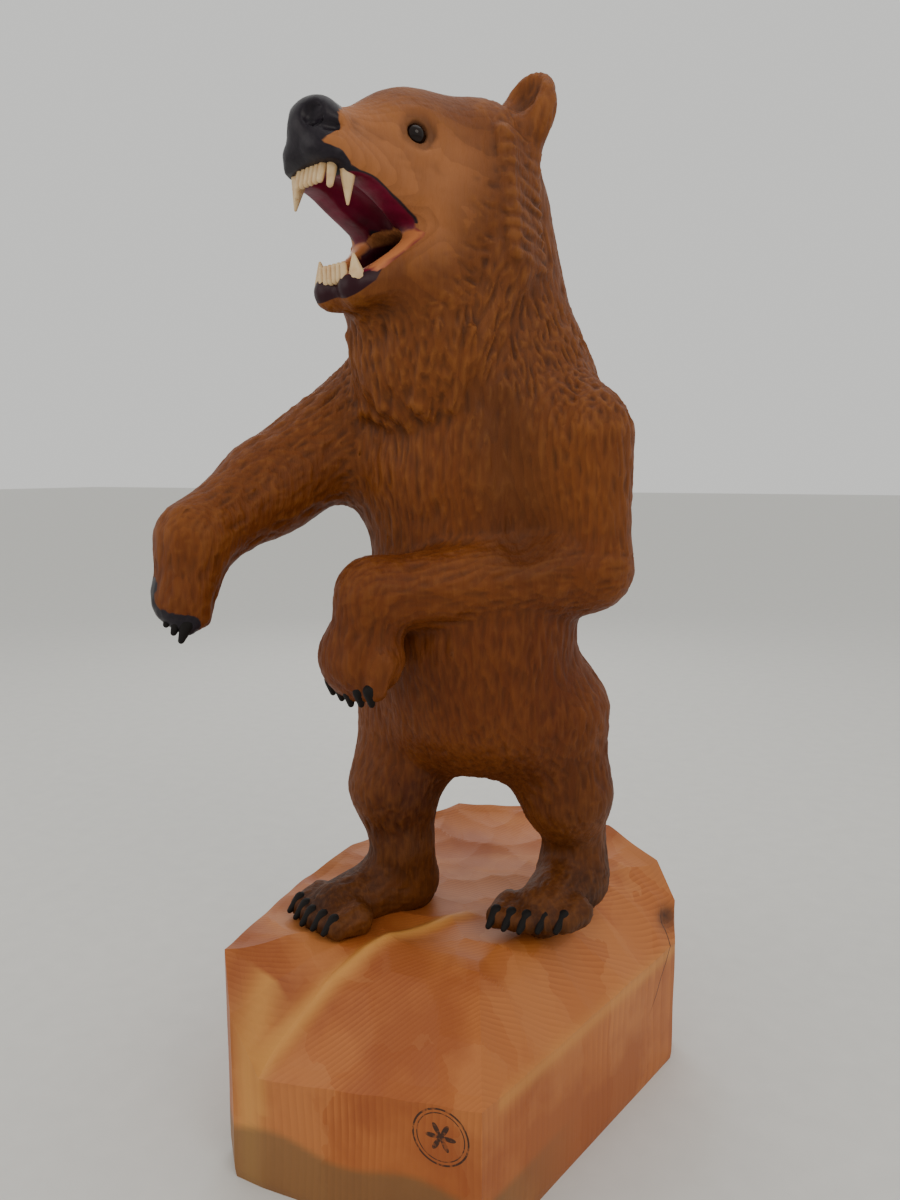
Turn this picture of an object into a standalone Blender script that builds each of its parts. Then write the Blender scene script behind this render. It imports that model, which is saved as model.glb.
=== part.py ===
"""A standing, roaring bear and its plinth, carved with a chainsaw from one log, with two glass eyes.

Metres, +Z up. The origin is the centre of the plinth's underside, and the bear looks along -Y, with its
head turned to its right. The bear's forms are shares of its height, in hundredths, so that it can be carved
larger or smaller. The plinth has sizes of its own.
"""
import math

import bmesh
import bpy
import numpy as np
from mathutils import Matrix, Vector

# Driving sizes, in metres
BEAR_HEIGHT = 0.650          # from the plinth's top to the tip of the ear
PLINTH_HEIGHT = 0.167        # at the bear's feet
PLINTH_WIDTH = 0.310
PLINTH_DEPTH = 0.370
PLINTH_BACK_RISE = 0.016     # the top climbs behind the bear
PLINTH_FRONT_DROP = 0.055    # and was cut away towards the front corner
PLINTH_CUT_DEPTH = 0.003      # of the scallops left by the blade on its top
EYE_DIAMETER = 0.016
EYE_CLEARANCE = 0.0003

# Fineness of the carved surface, in metres, and the number of triangles it is drawn with
CARVING_STEP = 0.0032
BEAR_TRIANGLES = 7700

# The head's place and turn: hundredths of the bear's height, and degrees
HEAD_CENTRE = (-4.8, -8.7, 87.8)
HEAD_TURN = 22.0             # to the bear's right
HEAD_TILT = 20.0             # nose up


# Where the legs stand and the paws hang, in hundredths of the bear's height
LEFT_LEG = {"hip": (8.3, 2.0, 24.0), "knee": (11.2, 2.0, 15.4), "ankle": (11.4, 5.4, 8.4),
            "heel": (11.6, 4.8, 3.2), "ball": (10.4, -3.8, 2.2)}
RIGHT_LEG = {"hip": (-8.2, 0.5, 24.5), "knee": (-9.4, -4.5, 15.6), "ankle": (-8.4, -4.6, 7.8),
             "heel": (-9.0, -3.2, 2.6), "ball": (-14.0, -11.4, 0.9)}
LEGS = (LEFT_LEG, RIGHT_LEG)
LEFT_FOOT = {"ball": LEFT_LEG["ball"], "across": (0.97, 0.24, 0.0), "ahead": (-0.24, -0.97, -0.1),
             "hook": (-0.2, -0.75, -0.6), "spread": 4.0, "reach": 3.4, "toe": 2.1, "claw": 2.2}
RIGHT_FOOT = {"ball": RIGHT_LEG["ball"], "across": (0.9, -0.44, 0.0), "ahead": (-0.44, -0.9, -0.1),
              "hook": (-0.35, -0.7, -0.6), "spread": 3.9, "reach": 3.4, "toe": 2.2, "claw": 2.0}
LEFT_PAW = {"ball": (-6.6, -18.0, 34.6), "across": (0.9, -0.42, 0.0), "ahead": (-0.05, -0.25, -1.0),
            "hook": (-0.05, 0.3, -0.9), "spread": 3.7, "reach": 3.6, "toe": 1.75, "claw": 1.8}
RIGHT_PAW = {"ball": (-24.4, -25.6, 41.2), "across": (0.65, 0.02, -0.75), "ahead": (-0.32, -0.63, -0.62),
             "hook": (-0.2, -0.3, -0.9), "spread": 2.5, "reach": 1.7, "toe": 1.6, "claw": 1.9}
PAWS = (LEFT_FOOT, RIGHT_FOOT, LEFT_PAW, RIGHT_PAW)


def clear_scene():
    for old in list(bpy.data.objects):
        bpy.data.objects.remove(old, do_unlink=True)


def head_axes():
    """The head's forward, left and up directions."""
    turn = math.radians(HEAD_TURN)
    tilt = math.radians(HEAD_TILT)
    forward = np.array((-math.sin(turn) * math.cos(tilt), -math.cos(turn) * math.cos(tilt), math.sin(tilt)))
    left = np.array((math.cos(turn), -math.sin(turn), 0.0))
    return np.array((forward, left, np.cross(forward, left)))


HEAD_AXES = head_axes()
WORLD_AXES = np.eye(3)


def in_head(forward, left, up):
    """A point given along the head's own axes."""
    return np.array(HEAD_CENTRE) + np.array((forward, left, up)) @ HEAD_AXES


def limb(start, end, start_radius, end_radius, blend=2.0):
    """A tapered, round-ended mass, such as a forearm, a finger or a tooth."""
    return {"kind": "limb", "start": np.array(start, float), "end": np.array(end, float),
            "radii": (start_radius, end_radius), "blend": blend}


def egg(centre, radii, axes=WORLD_AXES, blend=3.0):
    """A rounded mass, such as a belly or a cheek, with its radii along three axes."""
    return {"kind": "egg", "centre": np.array(centre, float), "radii": np.array(radii, float),
            "axes": np.array(axes, float), "blend": blend}


def body_masses():
    """Pelvis, belly, chest, hump, neck and tail."""
    return [
        egg((0.3, 1.0, 25.6), (14.4, 12.2, 8.8)),
        egg((-0.5, -1.8, 36.5), (13.5, 12.2, 14.5), blend=5.0),
        egg((-1.5, 0.0, 55.0), (14.8, 12.2, 13.8), blend=5.0),
        egg((0.0, 4.0, 64.5), (12.8, 9.5, 9.5), blend=5.0),
        limb((0.0, 2.0, 64.0), (-1.4, 1.4, 83.4), 12.4, 9.6, blend=5.0),
        egg((0.5, 12.6, 22.0), (2.6, 3.0, 3.8), blend=3.0),
    ]


def ruff_masses():
    """The collar of long fur: a bib under the throat, and a roll of fur up to each ear."""
    masses = [egg((-3.6, -9.0, 68.5), (8.6, 6.0, 8.9), blend=1.6)]
    rolls = (
        ((1.6, -7.8, 67.0), (3.6, -4.4, 77.5), (2.2, -4.2, 91.0)),
        ((-9.6, -4.0, 68.0), (-11.4, 0.0, 77.5), (-10.4, 1.2, 91.0)),
    )
    for low, middle, high in rolls:
        masses.append(limb(low, middle, 4.4, 4.8, blend=0.8))
        masses.append(limb(middle, high, 4.8, 4.6, blend=1.2))
        for share in np.linspace(0.06, 0.97, 9):
            root = np.array(middle) + (np.array(high) - np.array(middle)) * share
            outward = math.copysign(1.0, middle[0] + 3.0)
            front = root + (3.6 * outward, -2.9, 0.3)
            back = root + (5.0 * outward, 2.0, -0.9)
            masses.append(limb(front, back, 1.15, 0.8, blend=0.3))
    return masses


def bib_locks():
    """Long locks of fur that hang side by side over the bib and end in a ragged edge."""
    masses = []
    centre = np.array((-3.4, -9.1, 68.5))
    radii = np.array((8.8, 5.7, 8.7))
    for number, around in enumerate(np.linspace(-1.35, 1.35, 11)):
        ends = []
        for height in (0.6 - 0.4 * (number % 2), -0.8 - 0.16 * (number % 3)):
            spread = around * (1.0 - 0.12 * (height < 0))
            facing = (math.cos(height) * math.sin(spread), -math.cos(height) * math.cos(spread), math.sin(height))
            ends.append(centre + radii * np.array(facing))
        masses.append(limb(ends[0], ends[1], 0.6, 1.1, blend=0.6))
    return masses


def leg_masses():
    """Thighs, shins and feet. The right foot is a step ahead of the left, on lower ground."""
    masses = []
    for leg in LEGS:
        masses.append(limb(leg["hip"], leg["knee"], 8.3, 5.4, blend=3.5))
        masses.append(limb(leg["knee"], leg["ankle"], 5.2, 3.7, blend=3.0))
        masses.append(limb(leg["ankle"], leg["heel"], 3.8, 4.1, blend=2.0))
        masses.append(limb(leg["heel"], leg["ball"], 4.2, 3.5, blend=2.5))
    return masses


def fan(paw, spread):
    """The five places side by side across a paw, as unit shares from -1 to 1."""
    across = np.array(paw["across"], float)
    across /= np.linalg.norm(across)
    return [(share, np.array(paw["ball"]) + across * share * spread) for share in np.linspace(-1.0, 1.0, 5)]


def toe_masses():
    """Five toes on each foot and each hanging paw."""
    masses = []
    for paw in PAWS:
        ahead = np.array(paw["ahead"], float)
        ahead /= np.linalg.norm(ahead)
        for share, root in fan(paw, paw["spread"]):
            reach = paw["reach"] * (1.0 - 0.18 * abs(share))
            masses.append(limb(root, root + ahead * reach, paw["toe"], paw["toe"] * 0.72, blend=0.7))
    return masses


def claw_masses():
    """A short hooked claw laid over the end of each toe."""
    masses = []
    for paw in PAWS:
        ahead = np.array(paw["ahead"], float)
        ahead /= np.linalg.norm(ahead)
        outer = np.cross(ahead, paw["across"])
        hook = np.array(paw["hook"], float)
        for share, root in fan(paw, paw["spread"]):
            reach = paw["reach"] * (1.0 - 0.18 * abs(share))
            base = root + ahead * (reach + paw["toe"] * 0.1) + outer * paw["toe"] * 0.5
            masses.append(limb(base, base + hook * paw["claw"], 0.8, 0.4, blend=0.2))
    return masses


def arm_masses():
    """The right arm reaches out and its paw droops; the left crosses the belly and hangs its paw."""
    right_shoulder = (-13.8, -1.4, 61.6)
    right_elbow = (-21.6, -13.0, 53.2)
    right_wrist = (-24.2, -23.6, 47.6)
    left_shoulder = (12.8, -0.4, 59.0)
    left_elbow = (14.3, -0.9, 44.0)
    left_wrist = (-5.2, -17.2, 41.5)
    return [
        limb(right_shoulder, right_elbow, 7.4, 5.6, blend=4.0),
        limb(right_elbow, right_wrist, 5.6, 4.1, blend=2.0),
        limb(right_wrist, RIGHT_PAW["ball"], 4.1, 3.5, blend=2.0),
        limb(left_shoulder, left_elbow, 6.4, 4.9, blend=3.5),
        limb(left_elbow, left_wrist, 5.3, 4.2, blend=1.2),
        limb(left_wrist, LEFT_PAW["ball"], 4.2, 3.8, blend=1.5),
        egg(LEFT_PAW["ball"], (5.3, 3.5, 4.4), blend=1.5),
    ]


def head_masses():
    """Skull, muzzle, cheeks, jaws and ears, in the head's own axes."""
    masses = [
        egg(in_head(-3.0, 0.0, 0.8), (9.0, 8.2, 8.2), HEAD_AXES, blend=4.0),
        egg(in_head(-9.0, 0.0, 4.2), (6.4, 8.2, 7.4), HEAD_AXES, blend=3.0),
        egg(in_head(2.6, 0.0, 0.2), (6.1, 6.2, 6.5), HEAD_AXES, blend=4.0),
        limb(in_head(4.0, 0.0, -1.9), in_head(10.4, 0.0, -3.3), 5.3, 3.8, blend=3.0),
        egg(in_head(12.6, 0.0, -2.7), (2.8, 3.3, 3.1), HEAD_AXES, blend=0.6),
        limb(in_head(-4.2, 0.0, -14.2), in_head(2.6, 0.0, -15.9), 5.4, 2.0, blend=2.0),
    ]
    for side in (1.0, -1.0):
        masses += [
            egg(in_head(-5.4, 5.2 * side, -5.0), (6.4, 4.2, 7.2), HEAD_AXES, blend=3.0),
            egg(in_head(-4.8, 4.0 * side, -12.4), (6.0, 4.6, 5.6), HEAD_AXES, blend=2.0),
            limb(in_head(0.0, 3.9 * side, -4.6), in_head(10.9, 2.4 * side, -5.2), 3.2, 2.3, blend=1.5),
            limb(in_head(-2.4, 4.4 * side, -10.6), in_head(4.1, 2.1 * side, -16.1), 3.6, 2.0, blend=1.5),
            egg(in_head(12.2, 1.6 * side, -5.6), (1.9, 2.2, 1.5), HEAD_AXES, blend=0.8),
            limb(in_head(11.2, 3.0 * side, -5.9), in_head(2.4, 4.8 * side, -5.4), 1.5, 1.7, blend=0.8),
            egg(in_head(-8.6, 7.0 * side, 10.6), (2.5, 3.7, 5.3), HEAD_AXES, blend=1.8),
        ]
    return masses


def hollows():
    """What the blade took out: the mouth, the nostrils, the cup of each ear and each eye's hollow."""
    cuts = [
        limb(in_head(-3.6, 0.0, -10.4), in_head(6.5, 0.0, -11.0), 2.6, 3.9, blend=1.0),
        egg(in_head(6.2, 0.0, -7.4), (5.6, 2.5, 1.7), HEAD_AXES, blend=0.7),
        limb(in_head(0.6, 0.0, -12.6), in_head(4.2, 0.0, -14.4), 2.1, 1.6, blend=0.7),
    ]
    for forward, up, radius in ((2.9, -8.3, 1.8), (5.0, -10.0, 3.0), (8.3, -9.7, 3.2), (7.2, -13.2, 2.4)):
        cuts.append(limb(in_head(forward, -9.0, up), in_head(forward, 9.0, up), radius, radius, blend=0.5))
    for side in (1.0, -1.0):
        cuts += [
            egg(in_head(14.9, 2.0 * side, -1.9), (1.6, 1.0, 1.2), HEAD_AXES, blend=0.3),
            limb(in_head(14.4, 3.0 * side, -2.9), in_head(12.6, 3.6 * side, -2.6), 0.5, 0.4, blend=0.3),
            egg(in_head(-6.3, 7.8 * side, 11.2), (1.8, 2.3, 3.6), HEAD_AXES, blend=1.0),
            egg(in_head(5.0, 6.9 * side, 0.4), (2.0, 1.5, 1.7), HEAD_AXES, blend=1.2),
        ]
    return cuts


def teeth_and_tongue():
    """Four long canines, the rows of incisors between them, and the tongue."""
    masses = [limb(in_head(-1.2, 0.0, -12.2), in_head(3.6, 0.0, -15.2), 1.6, 1.2, blend=0.5)]
    for side in (1.0, -1.0):
        masses += [
            limb(in_head(10.7, 3.5 * side, -6.7), in_head(9.5, 3.6 * side, -9.8), 0.85, 0.3, blend=0.3),
            limb(in_head(4.9, 2.9 * side, -15.4), in_head(6.2, 2.9 * side, -13.2), 0.85, 0.3, blend=0.3),
        ]
    for place in (-1.9, -1.14, -0.38, 0.38, 1.14, 1.9):
        masses.append(limb(in_head(12.0, place, -6.7), in_head(11.9, place, -8.5), 0.45, 0.36, blend=0.15))
        masses.append(limb(in_head(5.9, place, -15.7), in_head(6.6, place, -14.6), 0.4, 0.34, blend=0.15))
    return masses


def limb_distance(points, mass):
    """How far each point is from a tapered mass's surface, less than nothing inside."""
    along = mass["end"] - mass["start"]
    offsets = points - mass["start"]
    share = np.clip(offsets @ along / (along @ along), 0.0, 1.0)
    radius = mass["radii"][0] + (mass["radii"][1] - mass["radii"][0]) * share
    return np.linalg.norm(offsets - share[:, None] * along, axis=1) - radius


def egg_distance(points, mass):
    local = (points - mass["centre"]) @ mass["axes"].T
    scaled = np.linalg.norm(local / mass["radii"], axis=1)
    steepness = np.linalg.norm(local / mass["radii"] ** 2, axis=1)
    return scaled * (scaled - 1.0) / np.maximum(steepness, 1e-9)


def mass_distance(points, mass):
    if mass["kind"] == "limb":
        return limb_distance(points, mass)
    return egg_distance(points, mass)


def melt(first, second, width):
    """Two surfaces flow into each other over a width."""
    overlap = np.maximum(width - np.abs(first - second), 0.0) / width
    return np.minimum(first, second) - overlap ** 2 * width * 0.25


FORMS = body_masses() + ruff_masses() + bib_locks() + leg_masses() + arm_masses() + head_masses() + toe_masses()
HOLLOWS = hollows()
POINTED_FORMS = claw_masses() + teeth_and_tongue()


def bear_distance(points):
    """The whole bear: its forms melted together, the hollows cut, then claws, teeth and tongue."""
    total = mass_distance(points, FORMS[0])
    for form in FORMS[1:]:
        total = melt(total, mass_distance(points, form), form["blend"])
    for cut in HOLLOWS:
        total = -melt(-total, mass_distance(points, cut), cut["blend"])
    for form in POINTED_FORMS:
        total = melt(total, mass_distance(points, form), form["blend"])
    return total


def round_lump(blockout, centre, axes, radii):
    """One ball, stretched along three axes, added to the rough block-out."""
    place = np.eye(4)
    place[:3, :3] = np.array(axes).T * np.array(radii)
    place[:3, 3] = centre
    return bmesh.ops.create_icosphere(blockout, subdivisions=3, radius=1.0, matrix=Matrix(place.tolist()))["verts"]


def rough_out(masses):
    """The bear in rough: a ball or a tapered hull for each mass, before they are melted together."""
    joined = bmesh.new()
    for mass in masses:
        piece = bmesh.new()
        if mass["kind"] == "egg":
            round_lump(piece, mass["centre"], mass["axes"], mass["radii"])
        else:
            for centre, radius in zip((mass["start"], mass["end"]), mass["radii"]):
                round_lump(piece, centre, WORLD_AXES, (radius,) * 3)
            hull = bmesh.ops.convex_hull(piece, input=piece.verts)
            inner = [item for item in hull["geom_interior"] + hull["geom_unused"] if isinstance(item, bmesh.types.BMVert)]
            bmesh.ops.delete(piece, geom=inner, context="VERTS")
        mesh = bpy.data.meshes.new("rough_mass")
        piece.to_mesh(mesh)
        piece.free()
        joined.from_mesh(mesh)
        bpy.data.meshes.remove(mesh)
    return joined


def evaluated_mesh(piece):
    """The piece's mesh with its modifiers worked in."""
    depsgraph = bpy.context.evaluated_depsgraph_get()
    return bpy.data.meshes.new_from_object(piece.evaluated_get(depsgraph))


def apply_modifiers(piece):
    mesh = evaluated_mesh(piece)
    piece.modifiers.clear()
    piece.data = mesh


def add_object(name, mesh, material=None):
    piece = bpy.data.objects.new(name, mesh)
    bpy.context.collection.objects.link(piece)
    if material is not None:
        mesh.materials.append(material)
    return piece


def pull_to_form(mesh, rounds=6):
    """Moves each vertex onto the melted form."""
    count = len(mesh.vertices)
    flat = np.empty(count * 3)
    mesh.vertices.foreach_get("co", flat)
    points = flat.reshape(count, 3)
    nudge = 0.02
    for _ in range(rounds):
        here = bear_distance(points)
        slope = np.empty_like(points)
        for axis in range(3):
            shifted = points.copy()
            shifted[:, axis] += nudge
            slope[:, axis] = (bear_distance(shifted) - here) / nudge
        steep = np.maximum((slope ** 2).sum(axis=1), 0.05)
        step = slope * (here / steep)[:, None]
        points -= np.clip(step, -0.6, 0.6)
    mesh.vertices.foreach_set("co", points.ravel())
    mesh.update()


def carve_bear():
    """Rough block-out, one skin round it, drawn onto the melted form."""
    mesh = bpy.data.meshes.new("bear")
    rough = rough_out(FORMS + POINTED_FORMS)
    rough.to_mesh(mesh)
    rough.free()
    bear = add_object("bear", mesh)
    skin = bear.modifiers.new("one skin", "REMESH")
    skin.mode = "VOXEL"
    skin.voxel_size = CARVING_STEP / BEAR_HEIGHT * 100.0
    apply_modifiers(bear)
    pull_to_form(bear.data)
    thin = bear.modifiers.new("facets", "DECIMATE")
    thin.ratio = BEAR_TRIANGLES / (2.0 * len(bear.data.polygons))
    apply_modifiers(bear)
    bear.data.transform(Matrix.Translation((0.0, 0.0, PLINTH_HEIGHT)) @ Matrix.Scale(BEAR_HEIGHT / 100.0, 4))
    return bear


def rim_corners():
    """The plinth's outline, as shares of its half width and half depth, with each corner's height of rim.

    It was squared off the log with seven or so straight cuts, so no two sides are alike.
    """
    back = PLINTH_HEIGHT + PLINTH_BACK_RISE
    front = PLINTH_HEIGHT - PLINTH_FRONT_DROP
    outline = (
        (-0.92, -0.84, PLINTH_HEIGHT), (-0.78, -0.97, PLINTH_HEIGHT - 0.6 * PLINTH_FRONT_DROP),
        (-0.62, -0.98, front - 0.4 * PLINTH_FRONT_DROP), (0.50, -0.96, front),
        (0.97, 0.53, front), (0.93, 0.68, PLINTH_HEIGHT - 0.5 * PLINTH_FRONT_DROP),
        (0.80, 0.76, PLINTH_HEIGHT), (0.46, 0.90, back), (-0.10, 1.0, back),
        (-0.56, 0.88, back), (-0.93, 0.22, 0.5 * (back + PLINTH_HEIGHT)), (-1.0, -0.14, PLINTH_HEIGHT),
    )
    return [(x * PLINTH_WIDTH / 2, y * PLINTH_DEPTH / 2, height) for x, y, height in outline]


def rim_points(steps):
    """The rim's corners with points set in between them."""
    corners = rim_corners()
    points = []
    for index, corner in enumerate(corners):
        following = corners[(index + 1) % len(corners)]
        for step in range(steps):
            points.append(tuple(np.array(corner) + (np.array(following) - np.array(corner)) * step / steps))
    return points


def build_plinth():
    """A block with straight sawn sides, and a top that falls from the bear's feet to the rim in shallow cuts."""
    rings = (1.0, 0.9, 0.79, 0.66, 0.5, 0.25)
    rim = rim_points(3)
    block = bmesh.new()
    rows = []
    for ring in rings:
        row = []
        for place, (x, y, height) in enumerate(rim):
            fall = max(0.0, (ring - 0.5) / 0.5) ** 1.5
            scallop = PLINTH_CUT_DEPTH * math.cos(place * 2.1 + ring * 14.0) * min(1.0, 5.0 * (1.0 - ring))
            level = PLINTH_HEIGHT + (height - PLINTH_HEIGHT) * fall + scallop
            row.append(block.verts.new((x * ring, y * ring, level)))
        rows.append(row)
    for outer, inner in zip(rows, rows[1:]):
        for place in range(len(rim)):
            following = (place + 1) % len(rim)
            block.faces.new((outer[place], outer[following], inner[following], inner[place]))
    block.faces.new(rows[-1])
    foot = [block.verts.new((x, y, 0.0)) for x, y, height in rim]
    for place in range(len(rim)):
        following = (place + 1) % len(rim)
        block.faces.new((foot[place], foot[following], rows[0][following], rows[0][place]))
    block.faces.new(list(reversed(foot)))
    bmesh.ops.triangulate(block, faces=[face for face in block.faces if len(face.verts) == 4])
    bmesh.ops.recalc_face_normals(block, faces=block.faces)
    mesh = bpy.data.meshes.new("plinth")
    block.to_mesh(mesh)
    block.free()
    return add_object("plinth", mesh)


def eye_centre(side):
    """Where an eye sits: in from the bottom of its hollow, so that just over half of the ball shows."""
    outward = np.array((0.35, 0.93 * side, 0.05)) @ HEAD_AXES
    point = in_head(5.2, 7.5 * side, 0.4)
    for _ in range(40):
        point = point - outward * bear_distance(point[None, :])[0] * 0.8
    point = point - outward * EYE_DIAMETER * 0.12 / BEAR_HEIGHT * 100.0
    return Vector((point * BEAR_HEIGHT / 100.0).tolist()) + Vector((0.0, 0.0, PLINTH_HEIGHT))


def ball(name, centre, radius, segments=16, rings=10):
    shape = bmesh.new()
    bmesh.ops.create_uvsphere(shape, u_segments=segments, v_segments=rings, radius=radius)
    mesh = bpy.data.meshes.new(name)
    shape.to_mesh(mesh)
    shape.free()
    mesh.shade_smooth()
    piece = add_object(name, mesh)
    piece.location = centre
    return piece


def combine(piece, other, operation):
    """Joins a shape to the piece, or cuts it out, and takes the shape away."""
    step = piece.modifiers.new(operation.lower(), "BOOLEAN")
    step.operation = operation
    step.solver = "EXACT"
    step.object = other
    apply_modifiers(piece)
    bpy.data.objects.remove(other, do_unlink=True)


def finish_material(name, colour, roughness):
    material = bpy.data.materials.new(name)
    material.use_nodes = True
    shader = material.node_tree.nodes["Principled BSDF"]
    shader.inputs["Base Color"].default_value = colour
    shader.inputs["Roughness"].default_value = roughness
    shader.inputs["Metallic"].default_value = 0.0
    return material


clear_scene()
carving = carve_bear()
combine(carving, build_plinth(), "UNION")
carving.name = "carved_bear_and_plinth"
carving.data.materials.clear()
carving.data.materials.append(finish_material("stained softwood", (0.19, 0.08, 0.035, 1.0), 0.6))
eye_glass = finish_material("dark glass", (0.008, 0.005, 0.004, 1.0), 0.06)
SOCKET_RADIUS = (EYE_DIAMETER / 2 + EYE_CLEARANCE) / math.cos(math.pi / 10)
for eye_name, eye_side in (("left_eye", 1.0), ("right_eye", -1.0)):
    place = eye_centre(eye_side)
    combine(carving, ball("socket", place, SOCKET_RADIUS), "DIFFERENCE")
    eye = ball(eye_name, place, EYE_DIAMETER / 2)
    eye.data.materials.append(eye_glass)
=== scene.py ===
import math

import bmesh
import bpy
import numpy as np
from mathutils import Matrix, Vector, noise


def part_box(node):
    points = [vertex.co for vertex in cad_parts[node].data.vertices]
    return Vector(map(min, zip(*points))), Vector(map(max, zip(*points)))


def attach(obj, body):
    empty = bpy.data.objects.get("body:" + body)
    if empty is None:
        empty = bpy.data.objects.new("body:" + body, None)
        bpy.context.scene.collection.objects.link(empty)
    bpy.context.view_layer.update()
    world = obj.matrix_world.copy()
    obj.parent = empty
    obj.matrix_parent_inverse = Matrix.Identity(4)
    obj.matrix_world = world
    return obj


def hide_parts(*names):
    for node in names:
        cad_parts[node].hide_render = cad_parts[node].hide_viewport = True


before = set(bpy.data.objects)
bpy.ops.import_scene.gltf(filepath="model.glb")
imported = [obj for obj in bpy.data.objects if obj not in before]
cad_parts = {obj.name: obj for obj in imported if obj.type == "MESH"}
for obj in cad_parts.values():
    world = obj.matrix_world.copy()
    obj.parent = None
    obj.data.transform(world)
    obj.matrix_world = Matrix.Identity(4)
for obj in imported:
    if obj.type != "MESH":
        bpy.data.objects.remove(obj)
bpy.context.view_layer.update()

# The carving
# A standing, roaring bear and the block under it, cut with chainsaws and gouges from one softwood log.
# Its forms are given in hundredths of the bear's height, melted together as the blade rounded them over.
BEAR_HEIGHT = 0.650
PLINTH_HEIGHT = 0.167
PLINTH_WIDTH = 0.310
PLINTH_DEPTH = 0.370
PLINTH_BACK_RISE = 0.016
PLINTH_FRONT_DROP = 0.055
EYE_DIAMETER = 0.016
CARVING_STEP = 0.0019
BEAR_TRIANGLES = 118000
HEAD_CENTRE = (-4.8, -8.7, 87.8)
HEAD_TURN = 22.0
HEAD_TILT = 20.0
MOUTH_CORNER_FORWARD = 0.7
MOUTH_CORNER_UP = -7.9
WORLD_AXES = np.eye(3)
LEFT_LEG = {"hip": (8.3, 2.0, 24.0), "knee": (11.2, 2.0, 15.4), "ankle": (11.4, 5.4, 8.4),
            "heel": (11.6, 4.8, 3.2), "ball": (10.4, -3.8, 2.2)}
RIGHT_LEG = {"hip": (-8.2, 0.5, 24.5), "knee": (-9.4, -4.5, 15.6), "ankle": (-8.4, -4.6, 7.8),
             "heel": (-9.0, -3.2, 2.6), "ball": (-14.0, -11.4, 0.9)}
LEGS = (LEFT_LEG, RIGHT_LEG)
LEFT_FOOT = {"ball": LEFT_LEG["ball"], "across": (0.97, 0.24, 0.0), "ahead": (-0.24, -0.97, -0.1),
             "hook": (-0.2, -0.75, -0.6), "spread": 4.0, "reach": 3.4, "toe": 2.1, "claw": 2.2}
RIGHT_FOOT = {"ball": RIGHT_LEG["ball"], "across": (0.9, -0.44, 0.0), "ahead": (-0.44, -0.9, -0.1),
              "hook": (-0.35, -0.7, -0.6), "spread": 3.9, "reach": 3.4, "toe": 2.2, "claw": 2.0}
LEFT_PAW = {"ball": (-6.6, -18.0, 34.6), "across": (0.9, -0.42, 0.0), "ahead": (-0.05, -0.25, -1.0),
            "hook": (-0.05, 0.3, -0.9), "spread": 3.7, "reach": 3.6, "toe": 1.75, "claw": 1.8}
RIGHT_PAW = {"ball": (-24.4, -25.6, 41.2), "across": (0.65, 0.02, -0.75), "ahead": (-0.32, -0.63, -0.62),
             "hook": (-0.2, -0.3, -0.9), "spread": 2.5, "reach": 1.7, "toe": 1.6, "claw": 1.9}
PAWS = (LEFT_FOOT, RIGHT_FOOT, LEFT_PAW, RIGHT_PAW)
DOWN = (0.0, 0.0, -1.0)


def head_axes():
    """The head's forward, left and up directions."""
    turn = math.radians(HEAD_TURN)
    tilt = math.radians(HEAD_TILT)
    forward = np.array((-math.sin(turn) * math.cos(tilt), -math.cos(turn) * math.cos(tilt), math.sin(tilt)))
    left = np.array((math.cos(turn), -math.sin(turn), 0.0))
    return np.array((forward, left, np.cross(forward, left)))


HEAD_AXES = head_axes()


def in_head(forward, left, up):
    """A point given along the head's own axes."""
    return np.array(HEAD_CENTRE) + np.array((forward, left, up)) @ HEAD_AXES


def limb(start, end, start_radius, end_radius, blend=2.0):
    """A tapered, round-ended mass. The fur on it is combed from its start to its end."""
    start = np.array(start, float)
    end = np.array(end, float)
    comb = (end - start) / np.linalg.norm(end - start)
    reach = np.linalg.norm(end - start) / 2 + max(start_radius, end_radius)
    return {"kind": "limb", "start": start, "end": end, "radii": (start_radius, end_radius), "blend": blend,
            "comb": comb, "middle": (start + end) / 2, "reach": reach}


def egg(centre, radii, axes=WORLD_AXES, blend=3.0, comb=DOWN):
    """A rounded mass, with its radii along three axes."""
    centre = np.array(centre, float)
    return {"kind": "egg", "centre": centre, "radii": np.array(radii, float), "axes": np.array(axes, float),
            "blend": blend, "comb": np.array(comb, float), "middle": centre, "reach": max(radii)}


def body_forms():
    """Pelvis, belly, chest, hump, neck and tail."""
    return [
        egg((0.3, 1.0, 25.6), (14.4, 12.2, 8.8)),
        egg((-0.5, -1.8, 36.5), (13.5, 12.2, 14.5), blend=5.0),
        egg((-1.5, 0.0, 55.0), (14.8, 12.2, 13.8), blend=5.0),
        egg((0.0, 4.0, 64.5), (12.8, 9.5, 9.5), blend=5.0),
        limb((-1.4, 1.4, 83.4), (0.0, 2.0, 64.0), 9.6, 12.4, blend=5.0),
        egg((0.5, 12.6, 22.0), (2.6, 3.0, 3.8), blend=3.0),
    ]


def ruff_forms():
    """The collar of long fur: a bib under the throat, and a roll of tufts up to each ear."""
    forms = [egg((-3.6, -9.0, 68.5), (8.6, 6.0, 8.9), blend=1.6)]
    rolls = (
        ((1.6, -7.8, 67.0), (3.6, -4.4, 77.5), (2.2, -4.2, 91.0)),
        ((-9.6, -4.0, 68.0), (-11.4, 0.0, 77.5), (-10.4, 1.2, 91.0)),
    )
    for low, middle, high in rolls:
        forms.append(limb(low, middle, 4.4, 4.8, blend=0.8))
        forms.append(limb(middle, high, 4.8, 4.6, blend=1.2))
        for share in np.linspace(0.06, 0.97, 9):
            root = np.array(middle) + (np.array(high) - np.array(middle)) * share
            outward = math.copysign(1.0, middle[0] + 3.0)
            front = root + (3.6 * outward, -2.9, 0.3)
            back = root + (5.0 * outward, 2.0, -0.9)
            forms.append(limb(front, back, 1.15, 0.8, blend=0.3))
    return forms


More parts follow.
